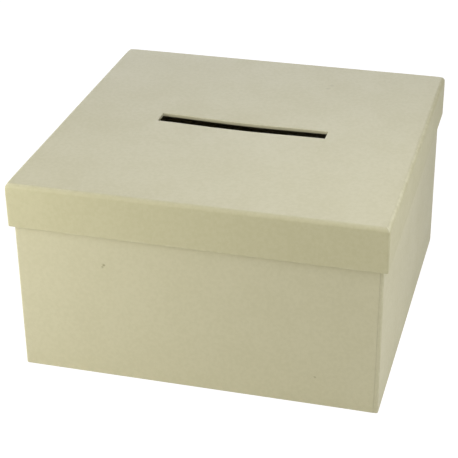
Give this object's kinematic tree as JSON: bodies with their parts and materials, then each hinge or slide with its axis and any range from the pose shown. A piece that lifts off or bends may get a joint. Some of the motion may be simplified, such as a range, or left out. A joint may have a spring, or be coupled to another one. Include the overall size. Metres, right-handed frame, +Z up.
{
  "type": "wedding card box",
  "caption": "Square paper-covered rigid box with a lift-off lid whose long centre slot takes wedding cards and envelopes.",
  "frame": {"origin": "middle of the underside, on the surface the box stands on", "axes": "+Z up, +X to the right along the slot, -Y towards the front face"},
  "size_m": [0.3, 0.3, 0.1656],
  "materials": {
    "pearl_paper": "ivory, pearly, softly glossy",
    "grey_board": "matt, speckled grey board",
    "lining_paper": "matt, plain ivory",
    "stay_tape": "matt kraft"
  },
  "bodies": {
    "tray": {"tray_floor_board": "grey_board", "tray_front_board": "grey_board", "tray_back_board": "grey_board", "tray_left_board": "grey_board", "tray_right_board": "grey_board", "tray_stay_front_left": "stay_tape", "tray_stay_front_right": "stay_tape", "tray_stay_back_left": "stay_tape", "tray_stay_back_right": "stay_tape", "tray_wrap": "pearl_paper", "tray_bottom_sheet": "pearl_paper", "tray_wall_lining": "lining_paper", "tray_floor_lining": "lining_paper"},
    "lid": {"lid_top_board": "grey_board", "lid_front_board": "grey_board", "lid_back_board": "grey_board", "lid_left_board": "grey_board", "lid_right_board": "grey_board", "lid_stay_front_left": "stay_tape", "lid_stay_front_right": "stay_tape", "lid_stay_back_left": "stay_tape", "lid_stay_back_right": "stay_tape", "lid_wrap": "pearl_paper", "lid_lining": "lining_paper"}
  },
  "joints": [
    {"name": "lid_lift", "type": "slide", "parent": "tray", "child": "lid", "axis": [0, 0, 1], "range_m": [0, 0.15]}
  ]
}
